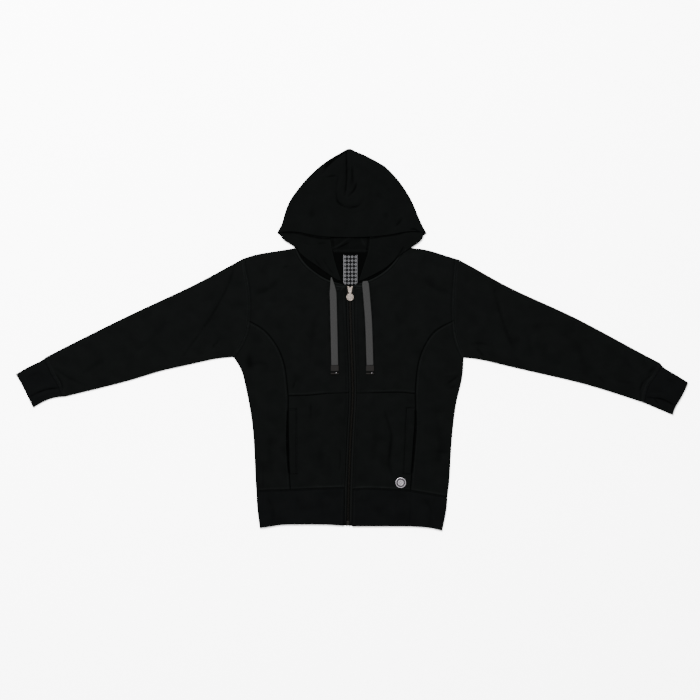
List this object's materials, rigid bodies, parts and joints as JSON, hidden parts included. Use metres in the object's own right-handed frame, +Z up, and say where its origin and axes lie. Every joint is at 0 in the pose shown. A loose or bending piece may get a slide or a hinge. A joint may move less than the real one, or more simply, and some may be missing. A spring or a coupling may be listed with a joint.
{
  "type": "zip up hoodie",
  "caption": "Black zip up hoodie laid flat: hood, full-length sleeves with cuffs, curved front seams with slit pockets, hem band, flat drawcords and a lifting zip pull.",
  "frame": {"origin": "on the underside of the back, on the zip's line, level with the yoke seams", "axes": "+X towards the right sleeve as seen from above, +Y towards the hood, +Z up out of the front"},
  "size_m": [1.5454, 0.8765, 0.0081],
  "materials": {
    "body_cloth": "brushed jersey",
    "band_cloth": "smooth dense jersey",
    "zip_tape": "woven tape",
    "zip_chain": "satin",
    "zip_metal": "polished",
    "cord_tape": "twill tape",
    "cord_tip": "sealed tape",
    "label": "woven satin",
    "badge": "satin"
  },
  "bodies": {
    "garment": {"back": "body_cloth", "hood_back": "body_cloth", "hood_crown": "body_cloth", "front_upper_left": "body_cloth", "front_lower_left": "body_cloth", "side_panel_left": "body_cloth", "sleeve_left": "body_cloth", "hood_side_left": "body_cloth", "front_upper_right": "body_cloth", "front_lower_right": "body_cloth", "side_panel_right": "body_cloth", "sleeve_right": "body_cloth", "hood_side_right": "body_cloth", "hem_band_left": "band_cloth", "hem_band_right": "band_cloth", "cuff_left": "band_cloth", "cuff_right": "band_cloth", "hem_band_back": "band_cloth", "zip_tape_left": "zip_tape", "zip_tape_right": "zip_tape", "drawcord_left": "cord_tape", "drawcord_right": "cord_tape", "cord_tip_left": "cord_tip", "cord_tip_right": "cord_tip", "zip_chain": "zip_chain", "zip_slider": "zip_metal", "neck_label": "label", "badge": "badge"},
    "pull": {"pull_tab": "zip_metal"}
  },
  "joints": [
    {"name": "pull_lift", "type": "hinge", "parent": "garment", "child": "pull", "pos_m": [0, 0.238, 0.0064], "axis": [-1, 0, 0], "range_deg": [0, 170]}
  ]
}
